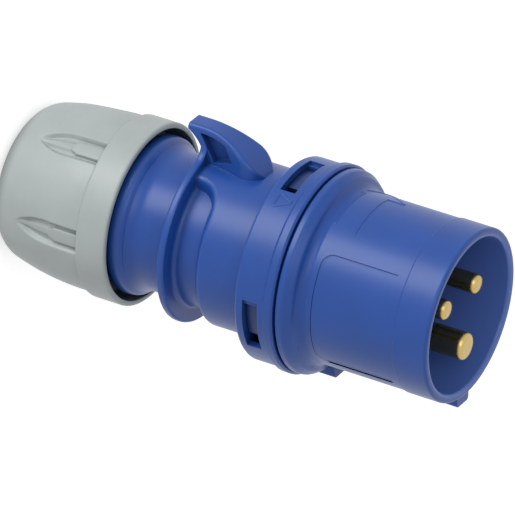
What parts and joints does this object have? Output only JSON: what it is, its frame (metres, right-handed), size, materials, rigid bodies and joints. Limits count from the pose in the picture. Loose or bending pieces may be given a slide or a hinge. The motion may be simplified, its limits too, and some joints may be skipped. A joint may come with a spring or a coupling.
{
  "type": "industrial pin and sleeve plug",
  "caption": "Round industrial plug: contact pins in a keyed blue sleeve, a twist-on cable housing with a hook and guard disc, and a fluted grey gland nut.",
  "frame": {"origin": "centre of the cable entry, in the flat back face of the gland nut, on the long axis", "axes": "+Z along the long axis to the open end of the sleeve; the hook points to -Y and the key of the sleeve to +Y"},
  "size_m": [0.053, 0.0576, 0.1245],
  "materials": {
    "blue_shell": "fine-grained satin moulding",
    "grey_nut": "fine-grained satin moulding",
    "white_plastic": "plain moulding",
    "dark_carrier": "glass-filled moulding",
    "black_rubber": "soft moulded rubber",
    "brass_contact": "turned, smooth",
    "zinc_steel": "zinc plated",
    "spring_steel": "plain strip"
  },
  "bodies": {
    "cable_housing": {"rear_housing": "blue_shell", "clamp_collet": "white_plastic", "cable_seal": "black_rubber"},
    "contact_part": {"front_sleeve": "blue_shell", "housing_gasket": "black_rubber", "contact_carrier": "dark_carrier", "live_pin": "brass_contact", "live_screw": "zinc_steel", "live_leaf": "spring_steel", "earth_pin": "brass_contact", "earth_screw": "zinc_steel", "earth_leaf": "spring_steel", "neutral_pin": "brass_contact", "neutral_screw": "zinc_steel", "neutral_leaf": "spring_steel", "carrier_screw_a": "zinc_steel", "carrier_screw_b": "zinc_steel", "carrier_screw_c": "zinc_steel"},
    "pressure_ring": {"thrust_ring": "white_plastic"},
    "nut": {"gland_nut": "grey_nut"}
  },
  "joints": [
    {"name": "bayonet_twist", "type": "hinge", "parent": "cable_housing", "child": "contact_part", "pos_m": [0, 0, 0.0848], "axis": [0, 0, 1], "range_deg": [0, 30]},
    {"name": "gland_travel", "type": "slide", "parent": "cable_housing", "child": "pressure_ring", "axis": [0, 0, -1], "range_m": [0, 0.0075]},
    {"name": "gland_turn", "type": "hinge", "parent": "pressure_ring", "child": "nut", "pos_m": [0, 0, 0.018], "axis": [0, 0, -1], "range_deg": [0, 1080]}
  ],
  "couplings": [
    {"joint": "gland_travel", "follows": "gland_turn", "m_per_rad": 0.00039789}
  ]
}
